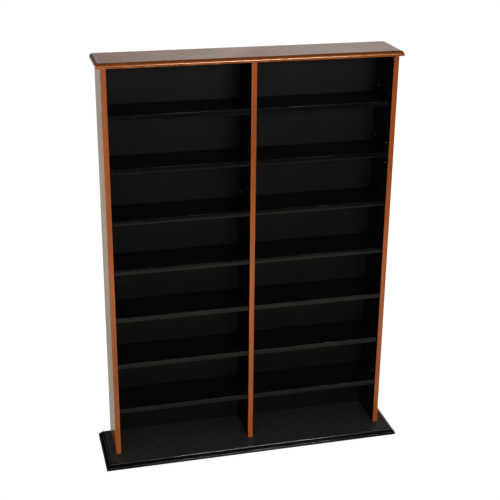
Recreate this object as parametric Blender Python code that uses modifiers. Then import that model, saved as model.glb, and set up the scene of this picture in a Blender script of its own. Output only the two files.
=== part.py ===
"""Open media cabinet: two columns of shelves between three uprights, on a moulded base, under a moulded top.

The adjustable shelves slide onto bent steel wires that plug into the uprights and lie hidden in kerfs
sawn in the shelf ends. The middle shelf of each column is fixed with dowels. Sizes are in metres. X runs
to the right, Y from front to back, and Z up from the floor. The origin is under the middle of the cabinet.
"""

import math

import bmesh
import bpy
from mathutils import Matrix, Vector

# Sheet goods and fits
BOARD = 0.016               # top, base, uprights and shelves
BACK_SHEET = 0.003          # hardboard back
EDGE_BAND = 0.002           # strip glued over an upright's front edge
BAND_ROUND = 0.0015         # its two long front corners
GAP = 0.0003                # between pieces that touch
OVERRUN = 0.002             # how far a cutter runs past the face it opens
WELD = 0.00002              # points nearer than this are one point

# Case
COLUMN_WIDTH = 0.424        # clear width of a column
UPRIGHT_DEPTH = 0.146       # front of the edge band to the rear of the board
HOLE_PITCH = 0.032          # spacing of the shelf holes up an upright
SHELF_LEVELS = 7
FIXED_LEVEL = 4             # counted from the bottom
HOLES_PER_LEVEL = 5         # pitches from one shelf to the next
SPARE_HOLES = 1             # holes above and below the one in use
TOP_BAY = 0.139             # clear height under the top
BACK_INSET = 0.001          # back sheet to the outer face of a side

# Shelves
SHELF_SETBACK = 0.005       # behind the front of the uprights
SHELF_REAR_GAP = 0.001
SHELF_END_GAP = 0.001       # each end of an adjustable shelf

# Shelf wires, and the two rows of holes that they and the dowels share
WIRE_RADIUS = 0.0015
WIRE_REACH = 0.0065         # upright's face to the wire's middle line
WIRE_SEAT = 0.0075          # length of a wire's end inside an upright
WIRE_BEND = 0.003           # radius of the bend's middle line
ROW_INSET = 0.025           # front row to the front, rear row to the rear
DRILL_SPARE = 0.001         # how much deeper a blind hole is than what it takes
KERF_SPARE = 0.0005         # kerf's floor to the wire

# Dowels
DOWEL_RADIUS = 0.004
SHELF_DOWEL_SEAT = 0.0075
TOP_DOWEL_SEAT = 0.011

# Screws up through the base
SCREW_LENGTH = 0.050
SCREW_SUNK = 0.001          # head below the underside of the base
HEAD_RADIUS = 0.005
HEAD_HEIGHT = 0.0025
HEAD_TAPER = 0.0015
SHANK_RADIUS = 0.0035
THREAD_RADIUS = 0.003
TIP_LENGTH = 0.002
SOCKET_RADIUS = 0.0023
SOCKET_DEPTH = 0.002

# Top moulding
TOP_FRONT = 0.007           # past the front of the uprights
TOP_SIDE = 0.014            # past each side, and the width of the moulding
TOP_ROUND = 0.011           # quarter round of its upper edge
TOP_UNDER_ROUND = 0.0048

# Base and its moulding
BASE_FRONT = 0.070          # base ahead of the uprights
BASE_SIDE = 0.0395          # base beyond each side
BASE_STRIP = 0.018          # width of the moulding
LIP_HEIGHT = 0.0085         # upright face at the foot of the moulding
LIP_ROUND = 0.001
LIP_TURN = 40               # degrees from the upright face to the slope
SLOPE_WIDTH = 0.0113        # lip to shoulder
SLOPE_BULGE = 0.0008        # how far the slope stands proud of a straight line
SHOULDER_STEP = 0.0018      # step from the slope up to the top face
SHOULDER_ROUND = 0.0016

# Facets
HOLE_SIDES = 8
DOWEL_SIDES = 12
SCREW_STEPS = 16
BIG_ARC_STEPS = 12
SMALL_ARC_STEPS = 4
SLOPE_STEPS = 6
BEND_STEPS = 3
WIRE_RESOLUTION = 2         # eight sides
SHARP_DEGREES = 35          # edges sharper than this stay sharp in a round piece

# Places worked out from the sizes above
COLUMN_PITCH = COLUMN_WIDTH + BOARD
CASE_HALF = COLUMN_PITCH + BOARD / 2
CASE_REAR = UPRIGHT_DEPTH + GAP + BACK_SHEET
REAR_Y = (BASE_FRONT + CASE_REAR) / 2
FRONT_Y = REAR_Y - CASE_REAR
BASE_FRONT_Y = FRONT_Y - BASE_FRONT
UPRIGHT_REAR_Y = FRONT_Y + UPRIGHT_DEPTH
ROW_YS = (FRONT_Y + ROW_INSET, UPRIGHT_REAR_Y - ROW_INSET)
SHELF_RISE = HOLES_PER_LEVEL * HOLE_PITCH
TOP_Z = BOARD + SHELF_LEVELS * SHELF_RISE + TOP_BAY
FULL_HEIGHT = TOP_Z + BOARD
LEVELS = range(1, SHELF_LEVELS + 1)
ADJUSTABLE = [level for level in LEVELS if level != FIXED_LEVEL]

CHERRY = ("cherry", (0.29, 0.085, 0.028), 0.38, 0.0)
BLACK = ("black_laminate", (0.012, 0.012, 0.013), 0.42, 0.0)
BACKING = ("black_backing", (0.016, 0.015, 0.015), 0.6, 0.0)
ZINC = ("zinc_steel", (0.55, 0.56, 0.58), 0.3, 1.0)


def clear_scene():
    for thing in list(bpy.data.objects):
        bpy.data.objects.remove(thing, do_unlink=True)


def new_collection(name):
    collection = bpy.data.collections.new(name)
    bpy.context.scene.collection.children.link(collection)
    return collection


def finish_material(name, finish):
    label, colour, roughness, metallic = finish
    material = bpy.data.materials.new(f"{name}_{label}")
    material.use_nodes = True
    shader = material.node_tree.nodes["Principled BSDF"]
    shader.inputs["Base Color"].default_value = (*colour, 1.0)
    shader.inputs["Roughness"].default_value = roughness
    shader.inputs["Metallic"].default_value = metallic
    material.diffuse_color = (*colour, 1.0)
    return material


def add_part(name, mesh, finish, place=(0, 0, 0)):
    """A named sub-part under the cabinet's empty, with a material of its own."""
    part = bpy.data.objects.new(name, mesh)
    if not mesh.materials:
        mesh.materials.append(finish_material(name, finish))
    part.location = place
    part.parent = cabinet
    parts.objects.link(part)
    return part


def box_mesh(name, size):
    mesh = bpy.data.meshes.new(name)
    solid = bmesh.new()
    bmesh.ops.create_cube(solid, size=1)
    bmesh.ops.scale(solid, vec=size, verts=solid.verts)
    solid.to_mesh(mesh)
    solid.free()
    return mesh


def board(name, low, high, finish):
    """A rectangular board between two corners, with its origin at its middle."""
    low, high = Vector(low), Vector(high)
    return add_part(name, box_mesh(name, high - low), finish, (low + high) / 2)


def rods_mesh(name, rods, sides):
    """Round rods, each given as its two ends and a radius."""
    mesh = bpy.data.meshes.new(name)
    solid = bmesh.new()
    for start, end, radius in rods:
        start, end = Vector(start), Vector(end)
        turn = (end - start).to_track_quat("Z", "Y").to_matrix().to_4x4()
        bmesh.ops.create_cone(
            solid,
            cap_ends=True,
            segments=sides,
            radius1=radius,
            radius2=radius,
            depth=(end - start).length,
            matrix=Matrix.Translation((start + end) / 2) @ turn,
        )
    solid.to_mesh(mesh)
    solid.free()
    return mesh


def add_cutter(name, mesh, place=(0, 0, 0)):
    cutter = bpy.data.objects.new(name, mesh)
    cutter.location = place
    cutter.hide_render = True
    cutter.display_type = "WIRE"
    cutters.objects.link(cutter)
    return cutter


def combine(part, cutter, operation):
    boolean = part.modifiers.new(cutter.name, "BOOLEAN")
    boolean.operation = operation
    boolean.solver = "EXACT"
    boolean.object = cutter


def drill(part, label, holes):
    """Holes whose flats lie at the radius given, so that a round piece of that radius clears them."""
    outer = 1 / math.cos(math.pi / HOLE_SIDES)
    rods = [(start, end, radius * outer) for start, end, radius in holes]
    mesh = rods_mesh(f"{part.name}_{label}", rods, HOLE_SIDES)
    combine(part, add_cutter(mesh.name, mesh), "DIFFERENCE")


def add_dowels(part, label, dowels):
    """Dowels glued into the part, so that they belong to its solid."""
    rods = [(start, end, DOWEL_RADIUS) for start, end in dowels]
    mesh = rods_mesh(f"{part.name}_{label}", rods, DOWEL_SIDES)
    combine(part, add_cutter(mesh.name, mesh), "UNION")


def arc(centre, radius, start, end, steps):
    """Points of an arc, its ends included, with angles in degrees."""
    points = []
    for step in range(steps + 1):
        angle = math.radians(start + (end - start) * step / steps)
        points.append((centre[0] + radius * math.cos(angle), centre[1] + radius * math.sin(angle)))
    return points


def outline_mesh(name, points, length):
    """A filled outline in XY, drawn out along Z, as a closed mesh."""
    curve = bpy.data.curves.new(f"{name}_outline", "CURVE")
    curve.dimensions = "2D"
    curve.fill_mode = "BOTH"
    curve.extrude = length / 2
    spline = curve.splines.new("POLY")
    spline.points.add(len(points) - 1)
    for point, (x, y) in zip(spline.points, points):
        point.co = (x, y, 0, 1)
    spline.use_cyclic_u = True
    return curve_to_mesh(name, curve)


def curve_to_mesh(name, curve):
    """The curve's mesh with its caps welded on and its faces pointing out."""
    source = bpy.data.objects.new(f"{name}_curve", curve)
    bpy.context.scene.collection.objects.link(source)
    evaluated = source.evaluated_get(bpy.context.evaluated_depsgraph_get())
    mesh = bpy.data.meshes.new_from_object(evaluated)
    mesh.name = name
    bpy.data.objects.remove(source, do_unlink=True)
    solid = bmesh.new()
    solid.from_mesh(mesh)
    bmesh.ops.remove_doubles(solid, verts=solid.verts, dist=WELD)
    bmesh.ops.recalc_face_normals(solid, faces=solid.faces)
    solid.to_mesh(mesh)
    solid.free()
    shade_round(mesh)
    return mesh


def shade_round(mesh):
    mesh.shade_smooth()
    mesh.set_sharp_from_angle(angle=math.radians(SHARP_DEGREES))


def shelf_middle(level):
    return BOARD + level * SHELF_RISE - BOARD / 2


def upright_x(place):
    """Middle of the left, centre or right upright, for a place of -1, 0 or 1."""
    return place * COLUMN_PITCH


def inner_drill(place, y, z, seat, radius):
    """A hole from the bays into an upright: blind in a side, right through in the divider."""
    middle = upright_x(place)
    if place:
        face = middle - place * BOARD / 2
        return ((face - place * OVERRUN, y, z), (face + place * (seat + DRILL_SPARE), y, z), radius)
    reach = BOARD / 2 + OVERRUN
    return ((middle - reach, y, z), (middle + reach, y, z), radius)


def upright(name, place, finish):
    middle = upright_x(place)
    low = (middle - BOARD / 2, FRONT_Y + EDGE_BAND + GAP, BOARD + GAP)
    high = (middle + BOARD / 2, UPRIGHT_REAR_Y, TOP_Z - GAP)
    panel = board(name, low, high, finish)
    inside = high[2] - OVERRUN
    add_dowels(panel, "top_dowels", [
        ((middle, y, inside), (middle, y, TOP_Z + TOP_DOWEL_SEAT)) for y in ROW_YS
    ])
    heights = [
        shelf_middle(level) + step * HOLE_PITCH
        for level in ADJUSTABLE
        for step in range(-SPARE_HOLES, SPARE_HOLES + 1)
    ]
    drill(panel, "wire_holes", [
        inner_drill(place, y, z, WIRE_SEAT, WIRE_RADIUS + GAP) for z in heights for y in ROW_YS
    ])
    drill(panel, "dowel_holes", [
        inner_drill(place, y, shelf_middle(FIXED_LEVEL), SHELF_DOWEL_SEAT, DOWEL_RADIUS + GAP)
        for y in ROW_YS
    ])
    pilot_end = SCREW_SUNK + SCREW_LENGTH + DRILL_SPARE
    drill(panel, "pilot_holes", [
        ((middle, y, BOARD + GAP - OVERRUN), (middle, y, pilot_end), THREAD_RADIUS + GAP) for y in ROW_YS
    ])


def edge_band(name, place):
    middle = upright_x(place)
    low = (middle - BOARD / 2, FRONT_Y, BOARD + GAP)
    high = (middle + BOARD / 2, FRONT_Y + EDGE_BAND, TOP_Z - GAP)
    band = board(name, low, high, CHERRY)
    solid = bmesh.new()
    solid.from_mesh(band.data)
    corners = [
        edge for edge in solid.edges
        if all(vertex.co.y < 0 for vertex in edge.verts) and edge.verts[0].co.x == edge.verts[1].co.x
    ]
    bmesh.ops.bevel(
        solid,
        geom=corners,
        offset=min(BAND_ROUND, EDGE_BAND, BOARD / 2),
        offset_type="OFFSET",
        segments=SMALL_ARC_STEPS,
        profile=0.5,
        affect="EDGES",
        material=-1,
    )
    solid.to_mesh(band.data)
    solid.free()
    shade_round(band.data)


def column_faces(column):
    """Left and right limits of a column's clear width, for a column of -1 or 1."""
    middle = column * COLUMN_PITCH / 2
    return middle - COLUMN_WIDTH / 2, middle + COLUMN_WIDTH / 2


def shelf_board(name, column, level, end_gap):
    left, right = column_faces(column)
    middle = shelf_middle(level)
    low = (left + end_gap, FRONT_Y + SHELF_SETBACK, middle - BOARD / 2)
    high = (right - end_gap, UPRIGHT_REAR_Y - SHELF_REAR_GAP, middle + BOARD / 2)
    return board(name, low, high, BLACK)


def adjustable_shelf(name, column, level):
    """A shelf with a kerf in each end, open to the end and the rear, that slides over the wires."""
    shelf = shelf_board(name, column, level, SHELF_END_GAP)
    start = ROW_YS[0] - WIRE_RADIUS - GAP
    end = UPRIGHT_REAR_Y + OVERRUN
    floor = WIRE_REACH + WIRE_RADIUS + KERF_SPARE
    for face, inward, side in zip(column_faces(column), (1, -1), ("left", "right")):
        width = floor + OVERRUN
        size = (width, end - start, (WIRE_RADIUS + GAP) * 2)
        middle = face + inward * (floor - OVERRUN) / 2
        mesh = box_mesh(f"{name}_{side}_kerf", size)
        kerf = add_cutter(mesh.name, mesh, (middle, (start + end) / 2, shelf_middle(level)))
        combine(shelf, kerf, "DIFFERENCE")


def fixed_shelf(name, column):
    """The middle shelf, with two dowels in each end."""
    shelf = shelf_board(name, column, FIXED_LEVEL, GAP)
    z = shelf_middle(FIXED_LEVEL)
    dowels = []
    for face, inward in zip(column_faces(column), (1, -1)):
        inside = face + inward * (GAP + OVERRUN)
        for y in ROW_YS:
            dowels.append(((inside, y, z), (face - inward * SHELF_DOWEL_SEAT, y, z)))
    add_dowels(shelf, "dowels", dowels)


def shelf_wire(name, face, inward, level):
    """A bent wire: both ends plug into the upright, and the run between them carries the shelf."""
    front, rear = ROW_YS
    path = [(-WIRE_SEAT, front)]
    path += arc((WIRE_REACH - WIRE_BEND, front + WIRE_BEND), WIRE_BEND, -90, 0, BEND_STEPS)
    path += arc((WIRE_REACH - WIRE_BEND, rear - WIRE_BEND), WIRE_BEND, 0, 90, BEND_STEPS)
    path += [(-WIRE_SEAT, rear)]
    curve = bpy.data.curves.new(f"{name}_path", "CURVE")
    curve.dimensions = "3D"
    curve.bevel_depth = WIRE_RADIUS
    curve.bevel_resolution = WIRE_RESOLUTION
    curve.use_fill_caps = True
    spline = curve.splines.new("POLY")
    spline.points.add(len(path) - 1)
    for point, (reach, y) in zip(spline.points, path):
        point.co = (inward * reach, y, 0, 1)
    add_part(name, curve_to_mesh(name, curve), ZINC, (face, 0, shelf_middle(level)))


def back_sheet(name, column):
    outer = column * (CASE_HALF - BACK_INSET)
    inner = column * GAP
    low = (min(outer, inner), UPRIGHT_REAR_Y + GAP, BOARD + GAP)
    high = (max(outer, inner), REAR_Y, TOP_Z - GAP)
    board(name, low, high, BACKING)


def top_outline(width):
    under = min(TOP_UNDER_ROUND, BOARD / 2)
    radius = min(TOP_ROUND, width, BOARD - under)
    points = [(0, 0)]
    points += arc((width - under, under), under, -90, 0, SMALL_ARC_STEPS)
    points += arc((width - radius, BOARD - radius), radius, 0, 90, BIG_ARC_STEPS)
    return points + [(0, BOARD)]


def bulged_line(start, end, height, steps):
    """Points from start to end along a shallow curve that stands out to the right of the straight line."""
    start, end = Vector(start), Vector(end)
    run = end - start
    outward = Vector((run.y, -run.x)).normalized()
    points = []
    for step in range(steps + 1):
        share = step / steps
        points.append(tuple(start + run * share + outward * 4 * height * share * (1 - share)))
    return points


def base_outline(width):
    shoulder = width - SLOPE_WIDTH
    lip_round = min(LIP_ROUND, LIP_HEIGHT)
    top_round = min(SHOULDER_ROUND, SHOULDER_STEP, shoulder)
    points = [(0, 0), (width, 0)]
    points += arc((width - lip_round, LIP_HEIGHT - lip_round), lip_round, 0, LIP_TURN, SMALL_ARC_STEPS)
    points += bulged_line(points[-1], (shoulder, BOARD - SHOULDER_STEP), SLOPE_BULGE, SLOPE_STEPS)[1:]
    points += arc((shoulder - top_round, BOARD - top_round), top_round, 0, 90, SMALL_ARC_STEPS)
    return points + [(0, BOARD)]


def moulding(name, outline, length, place, turn, mitres, finish):
    """A strip whose outline runs out along X and up along Y. A mitred end is sheared to 45 degrees.

    mitres gives how far each end, low then high, is held back from a full mitre, or None for a square end.
    """
    mesh = outline_mesh(name, outline, length)
    low, high = mitres
    for vertex in mesh.vertices:
        if vertex.co.z < 0 and low is not None:
            vertex.co.z -= vertex.co.x - low
        if vertex.co.z > 0 and high is not None:
            vertex.co.z += vertex.co.x - high
    strip = add_part(name, mesh, finish, place)
    strip.rotation_euler = (math.radians(90), 0, math.radians(turn))


def moulded_edge(prefix, outline, half_width, front, bottom, finish):
    """Front, left and right strips round a board that runs from its front edge to the rear."""
    side_x = half_width + GAP
    front_y = front - GAP
    length = REAR_Y - front_y
    middle = (REAR_Y + front_y) / 2
    held_back = GAP * math.sqrt(2)
    moulding(f"{prefix}_front", outline, side_x * 2, (0, front_y, bottom), -90, (held_back, held_back), finish)
    moulding(f"{prefix}_left", outline, length, (-side_x, middle, bottom), 180, (0, None), finish)
    moulding(f"{prefix}_right", outline, length, (side_x, middle, bottom), 0, (None, 0), finish)


def top():
    front = FRONT_Y - TOP_FRONT + TOP_SIDE
    panel = board("top_panel", (-CASE_HALF, front, TOP_Z), (CASE_HALF, REAR_Y, FULL_HEIGHT), CHERRY)
    drill(panel, "dowel_holes", [
        (
            (upright_x(place), y, TOP_Z - OVERRUN),
            (upright_x(place), y, TOP_Z + TOP_DOWEL_SEAT + DRILL_SPARE),
            DOWEL_RADIUS + GAP,
        )
        for place in (-1, 0, 1)
        for y in ROW_YS
    ])
    moulded_edge("top_moulding", top_outline(TOP_SIDE - GAP), CASE_HALF, front, TOP_Z, CHERRY)


def base():
    half = CASE_HALF + BASE_SIDE - BASE_STRIP
    front = BASE_FRONT_Y + BASE_STRIP
    panel = board("base_panel", (-half, front, 0), (half, REAR_Y, BOARD), BLACK)
    places = [(upright_x(place), y) for place in (-1, 0, 1) for y in ROW_YS]
    head_end = SCREW_SUNK + HEAD_HEIGHT + HEAD_TAPER + GAP
    drill(panel, "head_holes", [
        ((x, y, -OVERRUN), (x, y, head_end), HEAD_RADIUS + GAP) for x, y in places
    ])
    drill(panel, "shank_holes", [
        ((x, y, head_end - OVERRUN), (x, y, BOARD + OVERRUN), SHANK_RADIUS + GAP) for x, y in places
    ])
    moulded_edge("base_moulding", base_outline(BASE_STRIP - GAP), half, front, 0, BLACK)


def screw_mesh():
    """A flat-headed screw standing on its head at the origin, with a six-sided socket."""
    neck = HEAD_HEIGHT + HEAD_TAPER
    shank_end = BOARD - SCREW_SUNK
    profile = [
        (0, SCREW_LENGTH),
        (THREAD_RADIUS, SCREW_LENGTH - TIP_LENGTH),
        (THREAD_RADIUS, shank_end),
        (SHANK_RADIUS, shank_end),
        (SHANK_RADIUS, neck),
        (HEAD_RADIUS, HEAD_HEIGHT),
        (HEAD_RADIUS, 0),
        (0, 0),
    ]
    mesh = bpy.data.meshes.new("screw_profile")
    line = bmesh.new()
    corners = [line.verts.new((radius, 0, z)) for radius, z in profile]
    for first, second in zip(corners, corners[1:]):
        line.edges.new((first, second))
    line.to_mesh(mesh)
    line.free()
    blank = bpy.data.objects.new("screw_blank", mesh)
    bpy.context.scene.collection.objects.link(blank)
    turned = blank.modifiers.new("turned", "SCREW")
    turned.steps = SCREW_STEPS
    turned.render_steps = SCREW_STEPS
    turned.use_merge_vertices = True
    turned.merge_threshold = WELD
    socket = rods_mesh("screw_socket", [((0, 0, -OVERRUN), (0, 0, SOCKET_DEPTH), SOCKET_RADIUS)], 6)
    tool = add_cutter("screw_socket", socket)
    combine(blank, tool, "DIFFERENCE")
    evaluated = blank.evaluated_get(bpy.context.evaluated_depsgraph_get())
    finished = bpy.data.meshes.new_from_object(evaluated)
    finished.name = "base_screw"
    bpy.data.objects.remove(blank, do_unlink=True)
    bpy.data.objects.remove(tool, do_unlink=True)
    finished.materials.clear()
    shade_round(finished)
    return finished


def base_screws():
    mesh = screw_mesh()
    for place, side in ((-1, "left"), (0, "centre"), (1, "right")):
        for y, row in zip(ROW_YS, ("front", "rear")):
            add_part(f"base_screw_{side}_{row}", mesh, ZINC, (upright_x(place), y, SCREW_SUNK))


def uprights():
    upright("left_side", -1, CHERRY)
    upright("centre_divider", 0, BLACK)
    upright("right_side", 1, CHERRY)
    edge_band("left_side_edge_band", -1)
    edge_band("centre_divider_edge_band", 0)
    edge_band("right_side_edge_band", 1)


def shelves():
    for column, side in ((-1, "left"), (1, "right")):
        fixed_shelf(f"{side}_shelf_{FIXED_LEVEL}", column)
        left, right = column_faces(column)
        for level in ADJUSTABLE:
            name = f"{side}_shelf_{level}"
            adjustable_shelf(name, column, level)
            shelf_wire(f"{name}_wire_left", left, 1, level)
            shelf_wire(f"{name}_wire_right", right, -1, level)


clear_scene()
parts = new_collection("display_cabinet")
cutters = new_collection("cutters")
cabinet = bpy.data.objects.new("display_cabinet_frame", None)
parts.objects.link(cabinet)
top()
base()
uprights()
shelves()
back_sheet("back_sheet_left", -1)
back_sheet("back_sheet_right", 1)
base_screws()
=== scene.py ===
import math
import random

import bmesh
import bpy
from mathutils import Matrix, Vector


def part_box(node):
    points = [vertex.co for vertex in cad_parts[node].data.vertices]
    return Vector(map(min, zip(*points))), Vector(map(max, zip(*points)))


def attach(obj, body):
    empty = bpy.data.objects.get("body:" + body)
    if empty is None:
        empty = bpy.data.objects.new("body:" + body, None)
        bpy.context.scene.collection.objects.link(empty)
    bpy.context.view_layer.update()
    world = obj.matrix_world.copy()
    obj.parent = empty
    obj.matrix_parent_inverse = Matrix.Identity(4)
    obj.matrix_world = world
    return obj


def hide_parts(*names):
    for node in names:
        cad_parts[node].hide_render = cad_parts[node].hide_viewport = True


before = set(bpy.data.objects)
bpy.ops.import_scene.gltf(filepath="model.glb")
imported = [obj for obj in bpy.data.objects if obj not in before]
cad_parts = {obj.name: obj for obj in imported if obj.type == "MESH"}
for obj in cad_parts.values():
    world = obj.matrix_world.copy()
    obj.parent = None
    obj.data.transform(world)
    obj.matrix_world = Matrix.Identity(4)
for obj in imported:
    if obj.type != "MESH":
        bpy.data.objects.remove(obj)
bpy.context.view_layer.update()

# Places read from the frame, in metres: X right, Y front to back, Z up
topLow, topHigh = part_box("top_panel")
baseLow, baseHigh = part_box("base_panel")
leftLow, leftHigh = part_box("left_side")
dividerLow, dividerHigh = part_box("centre_divider")
rightLow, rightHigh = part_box("right_side")
wireLow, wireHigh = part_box("left_shelf_1_wire_left")

rearY = topHigh.y
board = topHigh.z - topLow.z
wireRadius = (wireHigh.z - wireLow.z) / 2
rowYs = (wireLow.y + wireRadius, wireHigh.y - wireRadius)   # front and rear rows of holes
columnFaces = {"left": (leftHigh.x, dividerLow.x), "right": (dividerHigh.x, rightLow.x)}
uprightX = {
    "left_side": (leftLow.x + leftHigh.x) / 2,
    "centre_divider": (dividerLow.x + dividerHigh.x) / 2,
    "right_side": (rightLow.x + rightHigh.x) / 2,
}
levels = range(1, 8)
fixedLevel = 4
shelfZ = {}
for level in levels:
    low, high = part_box(f"left_shelf_{level}")
    shelfZ[level] = (low.z + high.z) / 2

seam = 0.00002        # what stays open where the frame leaves a gap for its solids
frameGap = leftLow.z - baseHigh.z
closed = frameGap - seam
past = 0.002          # how far a cutting tool runs past a face
nearMiddle = 0.01     # anything closer to X 0 belongs to the divider
flush = 0.000001      # closer than this is the same place


# Camera, at the photograph's angle
shot = {
    "place": (-0.7813, -3.0429, 1.9419),
    "turn": (68.0056, -0.5652, -14.2069),   # degrees
    "lens": 77.681,
    "sensor": 36,
    "clipEnd": 200,
}


def setCamera():
    data = bpy.data.cameras.new("shotCamera")
    data.lens = shot["lens"]
    data.sensor_width = shot["sensor"]
    data.clip_end = shot["clipEnd"]
    camera = bpy.data.objects.new("shotCamera", data)
    camera.location = shot["place"]
    camera.rotation_euler = [math.radians(angle) for angle in shot["turn"]]
    bpy.context.scene.collection.objects.link(camera)
    bpy.context.scene.camera = camera


# Short ways to place and join shader nodes
def addNode(tree, kind, at, inputs=None, **settings):
    node = tree.nodes.new(kind)
    node.location = at
    for name, value in settings.items():
        setattr(node, name, value)
    for socket, value in (inputs or {}).items():
        feed(tree, node.inputs[socket], value)
    return node


def feed(tree, socket, value):
    if isinstance(value, bpy.types.NodeSocket):
        tree.links.new(value, socket)
    elif socket.type == "RGBA":
        socket.default_value = (*value, 1)
    else:
        socket.default_value = value


def addRamp(tree, at, factor, places, colours):
    ramp = addNode(tree, "ShaderNodeValToRGB", at, {"Fac": factor})
    elements = ramp.color_ramp.elements
    while len(elements) < len(places):
        elements.new(0.5)
    for element, place, colour in zip(elements, places, colours):
        element.position = place
        element.color = (*colour, 1)
    return ramp.outputs["Color"]


def addMath(tree, at, operation, *values):
    return addNode(tree, "ShaderNodeMath", at, dict(enumerate(values)), operation=operation).outputs[0]


def addBlend(tree, at, amount, first, second):
    return addNode(tree, "ShaderNodeMix", at, {0: amount, 6: first, 7: second}, data_type="RGBA").outputs[2]


def addStretch(tree, at, vector, scale, turn=(0, 0, 0), shift=(0, 0, 0)):
    inputs = {"Vector": vector, "Scale": scale, "Rotation": turn, "Location": shift}
    return addNode(tree, "ShaderNodeMapping", at, inputs).outputs["Vector"]


def addNoise(tree, at, vector, scale, detail=2.0, roughness=0.5, distortion=0.0):
    inputs = {
        "Vector": vector,
        "Scale": scale,
        "Detail": detail,
        "Roughness": roughness,
        "Distortion": distortion,
    }
    return addNode(tree, "ShaderNodeTexNoise", at, inputs).outputs[0]


def addRange(tree, at, value, fromLow, fromHigh, toLow=0.0, toHigh=1.0):
    inputs = {
        "Value": value,
        "From Min": fromLow,
        "From Max": fromHigh,
        "To Min": toLow,
        "To Max": toHigh,
    }
    return addNode(tree, "ShaderNodeMapRange", at, inputs).outputs["Result"]


def addGlow(tree, kind, at, colour, strength):
    return addNode(tree, kind, at, {"Color": colour, "Strength": strength}).outputs[0]


def addChoice(tree, at, amount, first, second):
    return addNode(tree, "ShaderNodeMixShader", at, {0: amount, 1: first, 2: second}).outputs[0]


def newGroup(name, inputs, outputs):
    tree = bpy.data.node_groups.new(name, "ShaderNodeTree")
    kinds = {"vector": "NodeSocketVector", "value": "NodeSocketFloat"}
    for label, kind in inputs:
        tree.interface.new_socket(label, in_out="INPUT", socket_type=kinds[kind])
    for label in outputs:
        tree.interface.new_socket(label, in_out="OUTPUT", socket_type=kinds["value"])
    start = addNode(tree, "NodeGroupInput", (-1400, 0))
    end = addNode(tree, "NodeGroupOutput", (600, 0))
    return tree, start.outputs, end


def useGroup(tree, group, at, inputs):
    return addNode(tree, "ShaderNodeGroup", at, inputs, node_tree=group).outputs


# Every noise in the settings below is given as scale, detail, roughness and distortion

# Wood figure, with the grain along Z
grain = {
    "stretch": {
        "figure": (7.0, 7.0, 0.45),
        "streak": (1, 1, 0.025),
        "fibre": (1, 1, 0.012),
        "pore": (1, 1, 0.045),
    },
    "noise": {
        "figure": (1.0, 3.0, 0.5, 0.35),
        "streak": (55.0, 3.0, 0.55),
        "fibre": (300.0, 4.0, 0.65),
        "pore": (1000.0, 1.0),
    },
    "rings": 30.0,
    "contrast": 0.9,
    "offset": -0.4,
    "poreCut": (0.62, 0.74),     # where the noise becomes a pore
    "poreShade": 0.22,
    "poreDepth": 0.35,
}


def buildGrain():
    tree, given, end = newGroup("woodGrain", [("Vector", "vector"), ("Figure", "value")], ["Tone", "Height"])
    drawn = {}
    for row, part in enumerate(grain["noise"]):
        y = 400 - 250 * row
        stretched = addStretch(tree, (-1150, y), given["Vector"], grain["stretch"][part])
        drawn[part] = addNoise(tree, (-900, y), stretched, *grain["noise"][part])
    rings = addMath(tree, (-650, 400), "MULTIPLY", drawn["figure"], grain["rings"])
    swing = addMath(tree, (-350, 400), "MULTIPLY", addMath(tree, (-500, 400), "SINE", rings), given["Figure"])
    lines = addMath(tree, (-650, 100), "ADD", drawn["streak"], drawn["fibre"])
    tone = addMath(tree, (-350, 150), "MULTIPLY_ADD", lines, grain["contrast"], grain["offset"])
    tone = addMath(tree, (-100, 200), "ADD", tone, swing)
    pores = addRange(tree, (-650, -350), drawn["pore"], *grain["poreCut"])
    shade = addMath(tree, (-350, -200), "MULTIPLY", pores, grain["poreShade"])
    depth = addMath(tree, (-350, -400), "MULTIPLY", pores, grain["poreDepth"])
    feed(tree, end.inputs["Tone"], addMath(tree, (150, 200), "SUBTRACT", tone, shade))
    feed(tree, end.inputs["Height"], addMath(tree, (150, -200), "SUBTRACT", drawn["fibre"], depth))
    return tree


# Rubbed places on the corners that a piece marks with its "edge" attribute; on the arrises of the black
# moulding and shelf bands these light marks are partly wear and partly painted highlight
wear = {"noise": (34.0, 4.0, 0.6), "cut": (0.5, 0.64)}


def buildWear():
    inputs = [("Vector", "vector"), ("Edge", "value"), ("Amount", "value")]
    tree, given, end = newGroup("edgeWear", inputs, ["Mask"])
    patches = addNoise(tree, (-900, 200), given["Vector"], *wear["noise"])
    rubbed = addRange(tree, (-650, 200), patches, *wear["cut"])
    mask = addMath(tree, (-400, 100), "MULTIPLY", rubbed, given["Edge"])
    feed(tree, end.inputs["Mask"], addMath(tree, (-200, 100), "MULTIPLY", mask, given["Amount"]))
    return tree


# Broad and fine changes of gloss, as handling and cleaning leave them
handling = {
    "broadNoise": (3.2, 4.0, 0.6, 0.6),
    "fineNoise": (210.0, 2.0),
    "broadShare": 0.7,
    "fineShare": 0.3,
    "spread": (0.36, 0.64),
}


def buildHandling():
    inputs = [("Vector", "vector"), ("Low", "value"), ("High", "value")]
    tree, given, end = newGroup("handledGloss", inputs, ["Roughness"])
    broad = addNoise(tree, (-900, 200), given["Vector"], *handling["broadNoise"])
    fine = addNoise(tree, (-900, -50), given["Vector"], *handling["fineNoise"])
    broad = addMath(tree, (-700, 200), "MULTIPLY", broad, handling["broadShare"])
    mixed = addMath(tree, (-500, 100), "MULTIPLY_ADD", fine, handling["fineShare"], broad)
    gloss = addRange(tree, (-250, 100), mixed, *handling["spread"], given["Low"], given["High"])
    feed(tree, end.inputs["Roughness"], gloss)
    return tree


grainGroup = buildGrain()
wearGroup = buildWear()
glossGroup = buildHandling()


def startMaterial(name):
    material = bpy.data.materials.new(name)
    material.use_nodes = True
    tree = material.node_tree
    shader = tree.nodes["Principled BSDF"]
    where = addNode(tree, "ShaderNodeTexCoord", (-1500, 0)).outputs["Object"]
    return material, tree, shader, where


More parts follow.
